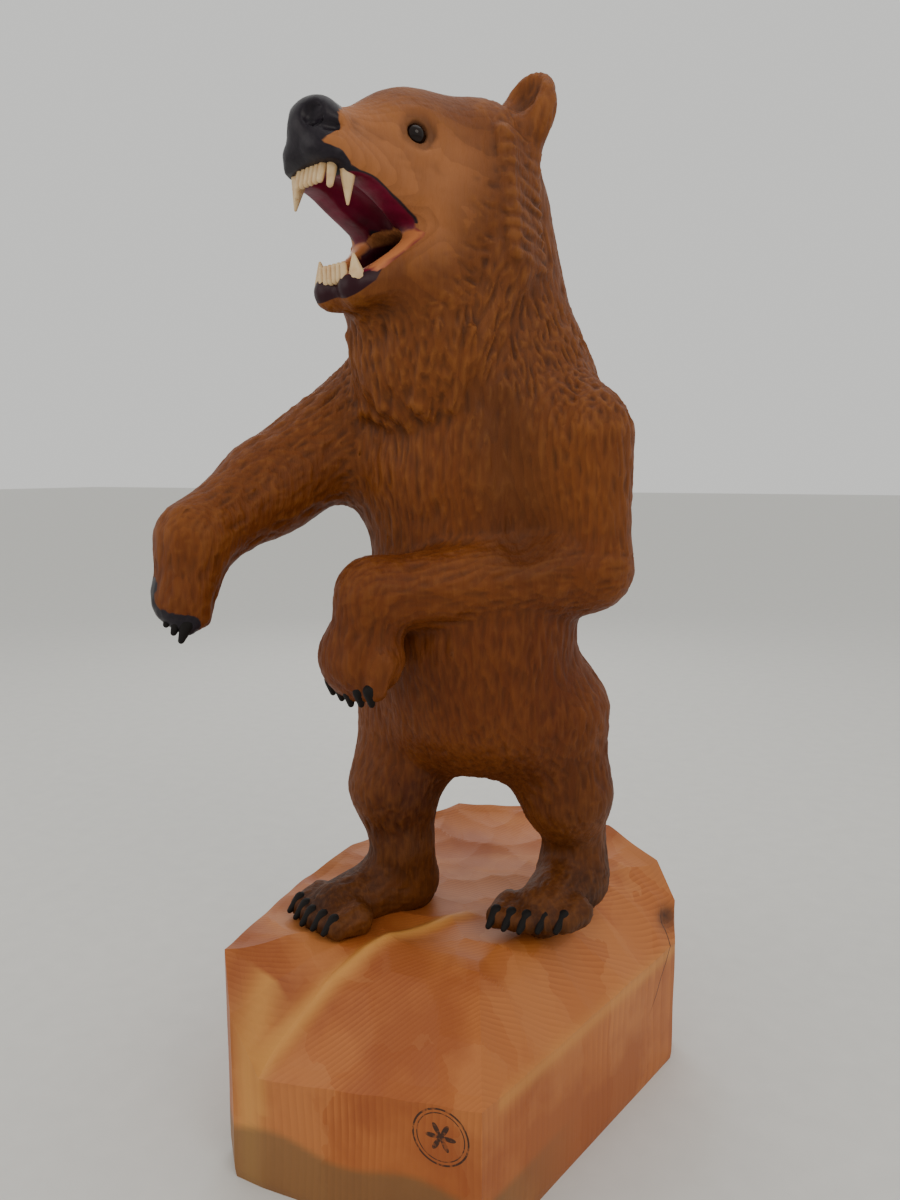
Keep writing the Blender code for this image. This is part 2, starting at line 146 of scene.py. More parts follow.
def bib_locks():
    """Long locks of fur that hang side by side over the bib and end in a ragged edge."""
    forms = []
    centre = np.array((-3.4, -9.1, 68.5))
    radii = np.array((8.8, 5.7, 8.7))
    for number, around in enumerate(np.linspace(-1.35, 1.35, 11)):
        ends = []
        for height in (0.6 - 0.4 * (number % 2), -0.8 - 0.16 * (number % 3)):
            spread = around * (1.0 - 0.12 * (height < 0))
            level = math.cos(height)
            facing = np.array((level * math.sin(spread), -level * math.cos(spread), math.sin(height)))
            ends.append(centre + radii * facing)
        forms.append(limb(ends[0], ends[1], 0.6, 1.1, blend=0.6))
    return forms


def leg_forms():
    """Thighs, shins and feet. The right foot is a step ahead of the left."""
    forms = []
    for leg in LEGS:
        forms.append(limb(leg["hip"], leg["knee"], 8.3, 5.4, blend=3.5))
        forms.append(limb(leg["knee"], leg["ankle"], 5.2, 3.7, blend=3.0))
        forms.append(limb(leg["ankle"], leg["heel"], 3.8, 4.1, blend=2.0))
        forms.append(limb(leg["heel"], leg["ball"], 4.2, 3.5, blend=2.5))
    return forms


def unit(direction):
    direction = np.array(direction, float)
    return direction / np.linalg.norm(direction)


def toes(paw):
    """The start of each of a paw's five toes, with how far it reaches."""
    for share in np.linspace(-1.0, 1.0, 5):
        root = np.array(paw["ball"]) + unit(paw["across"]) * share * paw["spread"]
        yield root, paw["reach"] * (1.0 - 0.18 * abs(share))


def toe_forms():
    forms = []
    for paw in PAWS:
        for root, reach in toes(paw):
            tip = root + unit(paw["ahead"]) * reach
            forms.append(limb(root, tip, paw["toe"], paw["toe"] * 0.72, blend=0.7))
    return forms


def claw_forms():
    """A short hooked claw laid over the end of each toe."""
    forms = []
    for paw in PAWS:
        ahead = unit(paw["ahead"])
        outer = np.cross(ahead, paw["across"])
        for root, reach in toes(paw):
            base = root + ahead * (reach + paw["toe"] * 0.1) + outer * paw["toe"] * 0.5
            forms.append(limb(base, base + np.array(paw["hook"]) * paw["claw"], 0.8, 0.35, blend=0.2))
    return forms


def arm_forms():
    """The right arm reaches out and its paw droops; the left crosses the belly and hangs its paw."""
    right_shoulder = (-13.8, -1.4, 61.6)
    right_elbow = (-21.6, -13.0, 53.2)
    right_wrist = (-24.2, -23.6, 47.6)
    left_shoulder = (12.8, -0.4, 59.0)
    left_elbow = (14.3, -0.9, 44.0)
    left_wrist = (-5.2, -17.2, 41.5)
    return [
        limb(right_shoulder, right_elbow, 7.4, 5.6, blend=4.0),
        limb(right_elbow, right_wrist, 5.6, 4.1, blend=2.0),
        limb(right_wrist, RIGHT_PAW["ball"], 4.1, 3.5, blend=2.0),
        limb(left_shoulder, left_elbow, 6.4, 4.9, blend=3.5),
        limb(left_elbow, left_wrist, 5.3, 4.2, blend=1.2),
        limb(left_wrist, LEFT_PAW["ball"], 4.2, 3.8, blend=1.5),
        egg(LEFT_PAW["ball"], (5.3, 3.5, 4.4), blend=1.5),
    ]


def head_forms():
    """Skull, muzzle, cheeks, jaws and ears, in the head's own axes, with the fur combed back."""
    back = -HEAD_AXES[0]
    forms = [
        egg(in_head(-3.0, 0.0, 0.8), (9.0, 8.2, 8.2), HEAD_AXES, blend=4.0, comb=back),
        egg(in_head(-9.0, 0.0, 4.2), (6.4, 8.2, 7.4), HEAD_AXES, blend=3.0, comb=back),
        egg(in_head(2.6, 0.0, 0.2), (6.1, 6.2, 6.5), HEAD_AXES, blend=4.0, comb=back),
        limb(in_head(10.4, 0.0, -3.3), in_head(4.0, 0.0, -1.9), 3.8, 5.3, blend=3.0),
        limb(in_head(2.6, 0.0, -15.9), in_head(-4.2, 0.0, -14.2), 2.0, 5.4, blend=2.0),
    ]
    for side in (1.0, -1.0):
        forms += [
            egg(in_head(-5.4, 5.2 * side, -5.0), (6.4, 4.2, 7.2), HEAD_AXES, blend=3.0, comb=back),
            egg(in_head(-4.8, 4.0 * side, -12.4), (6.0, 4.6, 5.6), HEAD_AXES, blend=2.0, comb=back),
            limb(in_head(10.9, 2.4 * side, -5.2), in_head(0.0, 3.9 * side, -4.6), 2.3, 3.2, blend=1.5),
            limb(in_head(4.1, 2.1 * side, -16.1), in_head(-2.4, 4.4 * side, -10.6), 2.0, 3.6, blend=1.5),
            egg(in_head(12.2, 1.6 * side, -5.3), (1.9, 2.2, 1.4), HEAD_AXES, blend=0.8, comb=back),
            limb(in_head(11.2, 3.0 * side, -5.9), in_head(2.4, 4.8 * side, -5.4), 1.5, 1.7, blend=0.8),
            egg(in_head(-8.6, 7.0 * side, 10.6), (2.5, 3.7, 5.3), HEAD_AXES, blend=1.8, comb=HEAD_AXES[2]),
        ]
    return forms


def nose_forms():
    """The leathery nose: a broad pad with two wings round the nostrils."""
    forms = [egg(in_head(12.6, 0.0, -2.7), (2.8, 3.3, 3.1), HEAD_AXES, blend=0.6)]
    for side in (1.0, -1.0):
        inner = in_head(13.4, 1.6 * side, -1.9)
        outer = in_head(12.0, 2.7 * side, -2.6)
        forms.append(limb(inner, outer, 1.2, 1.1, blend=0.8))
    return forms


def mouth_hollows():
    """What the blade took out of the mouth: throat, palate, floor and the wedge between the jaws."""
    cuts = [
        limb(in_head(-3.6, 0.0, -10.4), in_head(6.5, 0.0, -11.0), 2.6, 3.9, blend=1.0),
        egg(in_head(6.2, 0.0, -7.4), (5.6, 2.5, 1.7), HEAD_AXES, blend=0.7),
        limb(in_head(0.6, 0.0, -12.6), in_head(4.2, 0.0, -14.4), 2.1, 1.6, blend=0.7),
    ]
    wedge = []
    for reach in (1.6, 2.3, 3.3, 4.7, 6.4, 8.0):
        wedge.append((MOUTH_CORNER_FORWARD + 0.906 * reach, MOUTH_CORNER_UP - 0.423 * reach, 0.574 * reach))
    for forward, up, radius in wedge + [(11.4, -8.6, 2.0), (13.2, -8.3, 1.7)]:
        cuts.append(limb(in_head(forward, -9.0, up), in_head(forward, 9.0, up), radius, radius, blend=0.3))
    return cuts


def arm_fold():
    """The crease where the left upper arm lies against the chest."""
    return limb((7.4, -11.4, 62.0), (10.0, -10.2, 48.0), 1.5, 2.3, blend=2.5)


def small_hollows():
    """The fold beside the left arm, the nostrils, the cup of each ear and the hollow round each eye."""
    cuts = [arm_fold()]
    for side in (1.0, -1.0):
        cuts += [
            egg(in_head(14.7, 2.1 * side, -3.0), (1.6, 1.0, 1.2), HEAD_AXES, blend=0.3),
            limb(in_head(14.2, 3.0 * side, -3.9), in_head(12.4, 3.6 * side, -3.4), 0.5, 0.4, blend=0.3),
            egg(in_head(-5.9, 7.8 * side, 12.2), (1.8, 2.0, 2.8), HEAD_AXES, blend=0.8),
            egg(in_head(5.0, 6.9 * side, 0.4), (2.0, 1.5, 1.7), HEAD_AXES, blend=1.2),
        ]
    return cuts


def tooth_forms():
    """Four long canines, with the rows of incisors between them."""
    forms = []
    for side in (1.0, -1.0):
        forms += [
            limb(in_head(10.3 - 0.5 * side, 3.5 * side, -6.4), in_head(9.5 - 0.7 * side, 3.6 * side, -9.6),
                 0.9, 0.16),
            limb(in_head(11.2, 2.7 * side, -6.3), in_head(10.9, 2.8 * side, -8.5), 0.6, 0.36),
            limb(in_head(4.9, 2.9 * side, -15.5), in_head(6.1, 2.9 * side, -13.5), 1.0, 0.16),
        ]
    for place in (-1.9, -1.14, -0.38, 0.38, 1.14, 1.9):
        forms.append(limb(in_head(11.7, place, -6.4), in_head(11.6, place, -8.2), 0.48, 0.36))
        forms.append(limb(in_head(5.7, place, -15.8), in_head(6.3, place, -14.6), 0.46, 0.36))
    return forms


def tongue_forms():
    """The tongue, lying in the floor of the mouth."""
    return [limb(in_head(-1.2, 0.0, -12.2), in_head(3.6, 0.0, -15.2), 1.6, 1.2, blend=0.5)]


def clamp(values):
    """The values, with those below nothing and above one brought back to the ends."""
    return np.clip(values, 0.0, 1.0)


def form_distance(points, form):
    """How far each point is from a form's surface, less than nothing inside."""
    if form["kind"] == "limb":
        along = form["end"] - form["start"]
        offsets = points - form["start"]
        share = clamp(offsets @ along / (along @ along))
        radius = form["radii"][0] + (form["radii"][1] - form["radii"][0]) * share
        return np.linalg.norm(offsets - share[:, None] * along, axis=1) - radius
    local = (points - form["centre"]) @ form["axes"].T
    scaled = np.linalg.norm(local / form["radii"], axis=1)
    steepness = np.linalg.norm(local / form["radii"] ** 2, axis=1)
    return scaled * (scaled - 1.0) / np.maximum(steepness, 1e-9)


def melt(first, second, width):
    """Two surfaces flow into each other over a width."""
    overlap = np.maximum(width - np.abs(first - second), 0.0) / width
    return np.minimum(first, second) - overlap ** 2 * width * 0.25


def near(points, form, margin=4.0):
    """Which points are close enough to a form for it to matter to them."""
    return np.linalg.norm(points - form["middle"], axis=1) < form["reach"] + form["blend"] + margin


FLESH = (body_forms() + ruff_forms() + bib_locks() + leg_forms() + arm_forms() + head_forms()
         + nose_forms() + toe_forms())
MOUTH = mouth_hollows()
HOLLOWS = MOUTH + small_hollows()
CLAWS = claw_forms()
TEETH = tooth_forms()
TONGUE = tongue_forms()
FAR = 30.0


def bear_distance(points):
    """The bear without teeth and claws: its forms melted together, then the hollows cut, then the tongue."""
    total = np.full(len(points), FAR)
    for form in FLESH:
        close = near(points, form)
        total[close] = melt(total[close], form_distance(points[close], form), form["blend"])
    for cut in HOLLOWS:
        close = near(points, cut)
        total[close] = -melt(-total[close], form_distance(points[close], cut), cut["blend"])
    for form in TONGUE:
        close = near(points, form)
        total[close] = melt(total[close], form_distance(points[close], form), form["blend"])
    return total


def nearest_gap(points, forms):
    """How far each point is from the nearest of some forms."""
    gap = np.full(len(points), FAR)
    for form in forms:
        close = near(points, form)
        gap[close] = np.minimum(gap[close], form_distance(points[close], form))
    return gap


def add_round_lump(blockout, centre, axes, radii, fineness):
    """One ball, stretched along three axes, added to the rough block-out."""
    place = np.eye(4)
    place[:3, :3] = np.array(axes).T * np.array(radii)
    place[:3, 3] = centre
    bmesh.ops.create_icosphere(blockout, subdivisions=fineness, radius=1.0, matrix=Matrix(place.tolist()))


def rough_out(forms, fineness=3):
    """A ball or a tapered hull for each form, side by side in one mesh."""
    joined = bmesh.new()
    for form in forms:
        piece = bmesh.new()
        if form["kind"] == "egg":
            add_round_lump(piece, form["centre"], form["axes"], form["radii"], fineness)
        else:
            for centre, radius in zip((form["start"], form["end"]), form["radii"]):
                add_round_lump(piece, centre, WORLD_AXES, (radius,) * 3, fineness)
            hull = bmesh.ops.convex_hull(piece, input=piece.verts)
            inner = hull["geom_interior"] + hull["geom_unused"]
            inner = [item for item in inner if isinstance(item, bmesh.types.BMVert)]
            bmesh.ops.delete(piece, geom=inner, context="VERTS")
        mesh = bpy.data.meshes.new("rough_form")
        piece.to_mesh(mesh)
        piece.free()
        joined.from_mesh(mesh)
        bpy.data.meshes.remove(mesh)
    return joined


def add_object(name, mesh):
    piece = bpy.data.objects.new(name, mesh)
    bpy.context.collection.objects.link(piece)
    return piece


def apply_modifiers(piece):
    depsgraph = bpy.context.evaluated_depsgraph_get()
    mesh = bpy.data.meshes.new_from_object(piece.evaluated_get(depsgraph))
    piece.modifiers.clear()
    piece.data = mesh


def read_points(mesh):
    flat = np.empty(len(mesh.vertices) * 3)
    mesh.vertices.foreach_get("co", flat)
    return flat.reshape(-1, 3)


def read_normals(mesh):
    flat = np.empty(len(mesh.vertices) * 3)
    mesh.vertex_normals.foreach_get("vector", flat)
    return flat.reshape(-1, 3)


def write_points(mesh, points):
    mesh.vertices.foreach_set("co", points.ravel())
    mesh.update()


def pull_to_form(mesh, rounds=5):
    """Moves each vertex onto the melted form, down the form's own slope."""
    points = read_points(mesh)
    nudge = 0.02
    for _ in range(rounds):
        here = bear_distance(points)
        slope = np.empty_like(points)
        for axis in range(3):
            shifted = points.copy()
            shifted[:, axis] += nudge
            slope[:, axis] = (bear_distance(shifted) - here) / nudge
        steep = np.maximum((slope ** 2).sum(axis=1), 0.05)
        points -= np.clip(slope * (here / steep)[:, None], -0.6, 0.6)
    write_points(mesh, points)


def noise_at(points, seed):
    """Smooth noise between -1 and 1 at each point."""
    offset = Vector((seed * 7.1, seed * 3.3, seed * 5.7))
    return np.array([noise.noise(Vector(point) + offset) for point in points.tolist()])


def eye_places():
    """The middles of the two eyes, in hundredths of the bear's height."""
    middles = [np.mean(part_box(name), axis=0) for name in ("left_eye", "right_eye")]
    return [(middle - (0.0, 0.0, PLINTH_HEIGHT)) / BEAR_HEIGHT * 100.0 for middle in middles]


def eye_gap(points):
    """How far each point is from the nearer eye's glass."""
    gaps = [np.linalg.norm(points - place, axis=1) for place in eye_places()]
    return np.minimum(gaps[0], gaps[1]) - EYE_DIAMETER / 2.0 / BEAR_HEIGHT * 100.0


def gouge_strokes(points):
    """Round gouge cuts that run with each form's fur and meet in ridges, blended where forms meet."""
    nearest = nearest_gap(points, FLESH)
    depth = np.zeros(len(points))
    weights = np.full(len(points), 1e-6)
    for number, form in enumerate(FLESH):
        close = np.flatnonzero(near(points, form))
        gap = form_distance(points[close], form) - nearest[close]
        close = close[gap < 0.7]
        weight = np.exp(-gap[gap < 0.7] / 0.15)
        along = (points[close] @ form["comb"])[:, None] * form["comb"]
        across = points[close] - along
        broad = np.abs(noise_at(across / 1.6 + along / 8.0, number))
        strokes = np.abs(noise_at(across / 0.74 + along / 2.6, number + 0.5))
        depth[close] += weight * (-0.20 * broad - 0.32 * strokes)
        weights[close] += weight
    return depth / weights


def gouge_fur(mesh):
    """Cuts the fur into the skin, nearly smooth on the face, and rolls the lids out round the eyes."""
    points = read_points(mesh)
    smooth_skin = clamp(nearest_gap(points, TEETH + CLAWS + TONGUE + nose_forms() + MOUTH) / 0.8)
    head = (points - np.array(HEAD_CENTRE)) @ HEAD_AXES.T
    on_face = clamp((head[:, 0] + 4.0) / 3.0) * clamp((points[:, 2] - 70.0) / 3.0)
    lids = 0.30 * np.exp(-((eye_gap(points) - 0.30) / 0.28) ** 2)
    shaggy = 1.0 + 0.9 * np.exp(-((points[:, 2] - 69.0) / 7.0) ** 2)
    depth = gouge_strokes(points) * shaggy * smooth_skin * (1.0 - 0.8 * on_face) + lids
    write_points(mesh, points + read_normals(mesh) * depth[:, None])


def crease_depth(mesh):
    """How hollow the skin is at each point: more than nothing in a groove, less on a ridge."""
    points = read_points(mesh)
    ends = np.empty(len(mesh.edges) * 2, int)
    mesh.edges.foreach_get("vertices", ends)
    first, second = ends.reshape(-1, 2).T
    count = np.bincount(ends, minlength=len(points))

    def around(values):
        total = np.bincount(first, values[second], len(points))
        return (total + np.bincount(second, values[first], len(points))) / count

    shifts = np.array([around(points[:, axis]) - points[:, axis] for axis in range(3)])
    crease = (shifts.T * read_normals(mesh)).sum(axis=1)
    return 0.5 * (crease + around(crease))


def carve_bear():
    """Rough block-out, one skin drawn twice onto the melted form, then gouged, thinned and painted."""
    mesh = bpy.data.meshes.new("carved_bear")
    rough = rough_out(FLESH + TONGUE)
    rough.to_mesh(mesh)
    rough.free()
    bear = add_object("carved_bear", mesh)
    for _ in range(2):
        skin = bear.modifiers.new("one skin", "REMESH")
        skin.mode = "VOXEL"
        skin.voxel_size = CARVING_STEP / BEAR_HEIGHT * 100.0
        apply_modifiers(bear)
        pull_to_form(bear.data)
    gouge_fur(bear.data)
    thin = bear.modifiers.new("fewer facets", "DECIMATE")
    thin.ratio = min(1.0, BEAR_TRIANGLES / (2.0 * len(bear.data.polygons)))
    apply_modifiers(bear)
    paint_bear(bear.data)
    return bear


def carve_small(name, forms):
    """Teeth or claws: small crisp forms that stand out of the skin."""
    mesh = bpy.data.meshes.new(name)
    small = rough_out(forms, fineness=2)
    small.to_mesh(mesh)
    small.free()
    return add_object(name, mesh)


def linear(code):
    """A colour given as a hex code, as the linear values that shaders take."""
    channels = [int(code[place:place + 2], 16) / 255.0 for place in (1, 3, 5)]
    return tuple(c / 12.92 if c <= 0.04045 else ((c + 0.055) / 1.055) ** 2.4 for c in channels) + (1.0,)


def add_node(tree, kind, settings=None, links=None):
    """A shader node, with the settings and the links of its inputs."""
    node = tree.nodes.new(kind)
    for name, value in (settings or {}).items():
        if isinstance(name, int) or name in node.inputs:
            node.inputs[name].default_value = value
        else:
            setattr(node, name, value)
    for name, source in (links or {}).items():
        tree.links.new(source, node.inputs[name])
    return node


def new_material(name):
    material = bpy.data.materials.new(name)
    material.use_nodes = True
    return material, material.node_tree, material.node_tree.nodes["Principled BSDF"]


def set_stops(ramp, stops):
    """Gives a colour ramp its stops, as pairs of place and hex colour."""
    while len(ramp.color_ramp.elements) < len(stops):
        ramp.color_ramp.elements.new(0.5)
    for element, (place, code) in zip(ramp.color_ramp.elements, stops):
        element.position = place
        element.color = linear(code)


def mix_colours(tree, share, first, second, blend="MIX"):
    """A mix of two colours, each a socket or a hex code, by a share that is a socket or a number."""
    mixer = add_node(tree, "ShaderNodeMix", {"data_type": "RGBA", "blend_type": blend})
    for place, value in ((0, share), (6, first), (7, second)):
        if isinstance(value, str):
            mixer.inputs[place].default_value = linear(value)
        elif isinstance(value, (int, float)):
            mixer.inputs[place].default_value = value
        else:
            tree.links.new(value, mixer.inputs[place])
    return mixer.outputs[2]


def ring_lines(tree, place, ring_width, waviness):
    """The growth rings: upright shells round a pith that lies behind the bear's right, outside the block."""
    pith_x, pith_y = -0.42, 0.38
    wander = add_node(tree, "ShaderNodeTexNoise", {"Scale": 5.0, "Detail": 2.0}, {"Vector": place})
    apart = add_node(tree, "ShaderNodeSeparateXYZ", {}, {"Vector": place})
    flat = add_node(tree, "ShaderNodeCombineXYZ")
    for axis, pith in (("X", pith_x), ("Y", pith_y)):
        away = add_node(tree, "ShaderNodeMath", {"operation": "SUBTRACT", 1: pith}, {0: apart.outputs[axis]})
        tree.links.new(away.outputs[0], flat.inputs[axis])
    radius = add_node(tree, "ShaderNodeVectorMath", {"operation": "LENGTH"}, {0: flat.outputs[0]})
    bend = add_node(tree, "ShaderNodeMath", {"operation": "MULTIPLY_ADD", 1: waviness},
                    {0: wander.outputs["Fac"], 2: radius.outputs["Value"]})
    count = add_node(tree, "ShaderNodeMath", {"operation": "MULTIPLY", 1: 1.0 / ring_width},
                     {0: bend.outputs[0]})
    return add_node(tree, "ShaderNodeMath", {"operation": "FRACT"}, {0: count.outputs[0]}).outputs[0]


def painted_share(tree, field):
    """1 where a field of the mesh is below nothing and 0 where it is above, with a crisp edge between."""
    value = add_node(tree, "ShaderNodeAttribute", {"attribute_name": field}).outputs["Fac"]
    edge = add_node(tree, "ShaderNodeMapRange", {"From Min": 0.05, "From Max": -0.05}, {"Value": value})
    return edge.outputs["Result"]


def lay_fields(tree, colour, layers):
    """Lays flat colours over a colour, each where the mesh's field of that name says, and as strongly."""
    for field, code in layers:
        share = add_node(tree, "ShaderNodeAttribute", {"attribute_name": field})
        colour = mix_colours(tree, share.outputs["Fac"], colour, code)
    return colour


def stain_shade_and_highlight_colour(tree, place):
    """Brown stain, darker down the legs and paler on the face; darker in the cuts and the fold by the left
    arm, partly stain gathered there and partly painted shade, and lighter on the ridges, partly wear and
    partly a painted highlight.
    """
    apart = add_node(tree, "ShaderNodeSeparateXYZ", {}, {"Vector": place})
    height = add_node(tree, "ShaderNodeMapRange",
                      {"From Min": PLINTH_HEIGHT, "From Max": PLINTH_HEIGHT + BEAR_HEIGHT},
                      {"Value": apart.outputs["Z"]})
    tone = add_node(tree, "ShaderNodeValToRGB", {}, {"Fac": height.outputs["Result"]})
    set_stops(tone, ((0.0, "#241005"), (0.08, "#341405"), (0.26, "#5C2807"), (0.5, "#67310B"),
                     (0.72, "#6B3815"), (1.0, "#6C3A1A")))
    blotches = add_node(tree, "ShaderNodeTexNoise", {"Scale": 11.0, "Detail": 4.0}, {"Vector": place})
    blotch_share = add_node(tree, "ShaderNodeMapRange", {"From Min": 0.4, "From Max": 0.7, "To Max": 0.6},
                            {"Value": blotches.outputs["Fac"]})
    colour = mix_colours(tree, blotch_share.outputs["Result"], tone.outputs["Color"], "#7E4416")
    colour = lay_fields(tree, colour, (("face_paleness", "#A86B40"),))
    rings = ring_lines(tree, place, 0.0031, 0.008)
    late_wood = add_node(tree, "ShaderNodeMapRange", {"From Min": 0.3, "From Max": 0.95, "To Max": 0.16},
                         {"Value": rings})
    colour = mix_colours(tree, late_wood.outputs["Result"], colour, "#4A2A14", "MULTIPLY")
    hair = stretched_noise(tree, place, 300.0, 0.14)
    hair_share = add_node(tree, "ShaderNodeMapRange", {"From Min": 0.45, "From Max": 0.75, "To Max": 0.2},
                          {"Value": hair})
    colour = mix_colours(tree, hair_share.outputs["Result"], colour, "#8F5524")
    # Lighter on the ridges, partly wear and partly a painted highlight; darker in the grooves, partly stain
    # gathered there and partly painted shade.
    return lay_fields(tree, colour, (("ridge", "#A0632B"), ("groove", "#1F110A")))


def stretched_noise(tree, place, scale, squeeze):
    """Noise drawn out up and down, along the grain. Its scale is in cells a metre: 300 gives 3 mm marks."""
    stretched = add_node(tree, "ShaderNodeMapping", {"Scale": (1.0, 1.0, squeeze)}, {"Vector": place})
    return add_node(tree, "ShaderNodeTexNoise", {"Scale": scale, "Detail": 3.0},
                    {"Vector": stretched.outputs[0]}).outputs["Fac"]


def mouth_paint_and_shade_colour(tree, place):
    """Dark red paint, darkened almost to black deep in the throat by painted shade, with a strip of wood
    left bare along the lower gum.
    """
    brushed = add_node(tree, "ShaderNodeTexNoise", {"Scale": 90.0, "Detail": 3.0}, {"Vector": place})
    colour = mix_colours(tree, brushed.outputs["Fac"], "#450A17", "#82183A")
    return lay_fields(tree, colour, (("throat", "#120304"), ("bare_gum", "#C77C4A")))


def stained_wood():
    """Softwood under brown stain, with the nose, lips and mouth painted. The stain soaks in, so the grain
    shows and the sheen is soft; the paint lies on top, smoother and glossier."""
    material, tree, shader = new_material("brown stained softwood with painted nose and mouth")
    place = add_node(tree, "ShaderNodeTexCoord").outputs["Object"]
    pores = add_node(tree, "ShaderNodeTexNoise", {"Scale": 420.0, "Detail": 2.0}, {"Vector": place})
    black = mix_colours(tree, pores.outputs["Fac"], "#15121A", "#2B242A")
    black = lay_fields(tree, black, (("lower_lip", "#2C0C15"),))
    black_share = painted_share(tree, "black_edge")
    mouth_share = painted_share(tree, "mouth_edge")
    colour = lay_fields(tree, stain_shade_and_highlight_colour(tree, place), (("eye_shade", "#26140C"),))
    colour = mix_colours(tree, black_share, colour, black)
    colour = mix_colours(tree, mouth_share, colour, mouth_paint_and_shade_colour(tree, place))
    tree.links.new(colour, shader.inputs["Base Color"])
    painted = add_node(tree, "ShaderNodeMath", {"operation": "MAXIMUM"}, {0: black_share, 1: mouth_share})
    shine = add_node(tree, "ShaderNodeMapRange", {"To Min": 0.54, "To Max": 0.36},
                     {"Value": painted.outputs[0]})
    tree.links.new(shine.outputs["Result"], shader.inputs["Roughness"])
    hair = stretched_noise(tree, place, 300.0, 0.14)
    cuts = stretched_noise(tree, place, 110.0, 0.35)
    relief = add_node(tree, "ShaderNodeMath", {"operation": "MULTIPLY_ADD", 1: 1.8}, {0: cuts, 2: hair})
    shader.inputs["Specular IOR Level"].default_value = 0.18
    roughened = add_node(tree, "ShaderNodeMapRange", {"To Min": 0.75, "To Max": 0.12},
                         {"Value": painted.outputs[0]})
    bump = add_node(tree, "ShaderNodeBump", {"Distance": 0.0011},
                    {"Height": relief.outputs[0], "Strength": roughened.outputs["Result"]})
    tree.links.new(bump.outputs["Normal"], shader.inputs["Normal"])
    return material


def tooth_paint():
    """Cream paint brushed on the teeth: half matt, with faint yellow streaks."""
    material, tree, shader = new_material("cream tooth paint")
    place = add_node(tree, "ShaderNodeTexCoord").outputs["Object"]
    streaks = add_node(tree, "ShaderNodeTexNoise", {"Scale": 160.0, "Detail": 2.0}, {"Vector": place})
    colour = mix_colours(tree, streaks.outputs["Fac"], "#C99A66", "#EBD3A4")
    tree.links.new(colour, shader.inputs["Base Color"])
    shader.inputs["Roughness"].default_value = 0.4
    return material


def claw_paint():
    """Near black brown paint on the claws: matt, so they read as dark shapes, and worn a little."""
    material, tree, shader = new_material("black claw paint")
    place = add_node(tree, "ShaderNodeTexCoord").outputs["Object"]
    wear = add_node(tree, "ShaderNodeTexNoise", {"Scale": 200.0, "Detail": 3.0}, {"Vector": place})
    tree.links.new(mix_colours(tree, wear.outputs["Fac"], "#050404", "#140D0A"), shader.inputs["Base Color"])
    shader.inputs["Roughness"].default_value = 0.7
    shader.inputs["Specular IOR Level"].default_value = 0.25
    return material


def stamp_ink(tree, place):
    """Where a branding iron burnt the front: two rings round a plain flower of six petals."""
    centre_x, centre_z = 0.048, 0.085
    apart = add_node(tree, "ShaderNodeSeparateXYZ", {}, {"Vector": place})
    across = add_node(tree, "ShaderNodeMath", {"operation": "SUBTRACT", 1: centre_x},
                      {0: apart.outputs["X"]})
    up = add_node(tree, "ShaderNodeMath", {"operation": "SUBTRACT", 1: centre_z}, {0: apart.outputs["Z"]})
    flat = add_node(tree, "ShaderNodeCombineXYZ", {}, {"X": across.outputs[0], "Y": up.outputs[0]})
    length = add_node(tree, "ShaderNodeVectorMath", {"operation": "LENGTH"}, {0: flat.outputs[0]})
    radius = length.outputs["Value"]
    angle = add_node(tree, "ShaderNodeMath", {"operation": "ARCTAN2"},
                     {0: up.outputs[0], 1: across.outputs[0]})
    turns = add_node(tree, "ShaderNodeMath", {"operation": "MULTIPLY", 1: 6.0}, {0: angle.outputs[0]})
    wave = add_node(tree, "ShaderNodeMath", {"operation": "COSINE"}, {0: turns.outputs[0]})
    reach = add_node(tree, "ShaderNodeMath", {"operation": "MULTIPLY_ADD", 1: 0.0042, 2: 0.0070},
                     {0: wave.outputs[0]})
    marks = add_node(tree, "ShaderNodeMath", {"operation": "LESS_THAN"}, {0: radius, 1: reach.outputs[0]})
    for ring_radius, ring_width in ((0.0202, 0.0007), (0.0174, 0.0004)):
        ring = add_node(tree, "ShaderNodeMath", {"operation": "COMPARE", 1: ring_radius, 2: ring_width},
                        {0: radius})
        marks = add_node(tree, "ShaderNodeMath", {"operation": "MAXIMUM"},
                         {0: marks.outputs[0], 1: ring.outputs[0]})
    front = add_node(tree, "ShaderNodeMath", {"operation": "LESS_THAN", 1: -0.13}, {0: apart.outputs["Y"]})
    worn = add_node(tree, "ShaderNodeTexNoise", {"Scale": 300.0, "Detail": 2.0}, {"Vector": place})
    pressed = add_node(tree, "ShaderNodeMapRange",
                       {"From Min": 0.35, "From Max": 0.5, "To Min": 0.25, "To Max": 0.9},
                       {"Value": worn.outputs["Fac"]})
    shown = add_node(tree, "ShaderNodeMath", {"operation": "MULTIPLY"},
                     {0: marks.outputs[0], 1: front.outputs[0]})
    return add_node(tree, "ShaderNodeMath", {"operation": "MULTIPLY"},
                    {0: shown.outputs[0], 1: pressed.outputs["Result"]}).outputs[0]


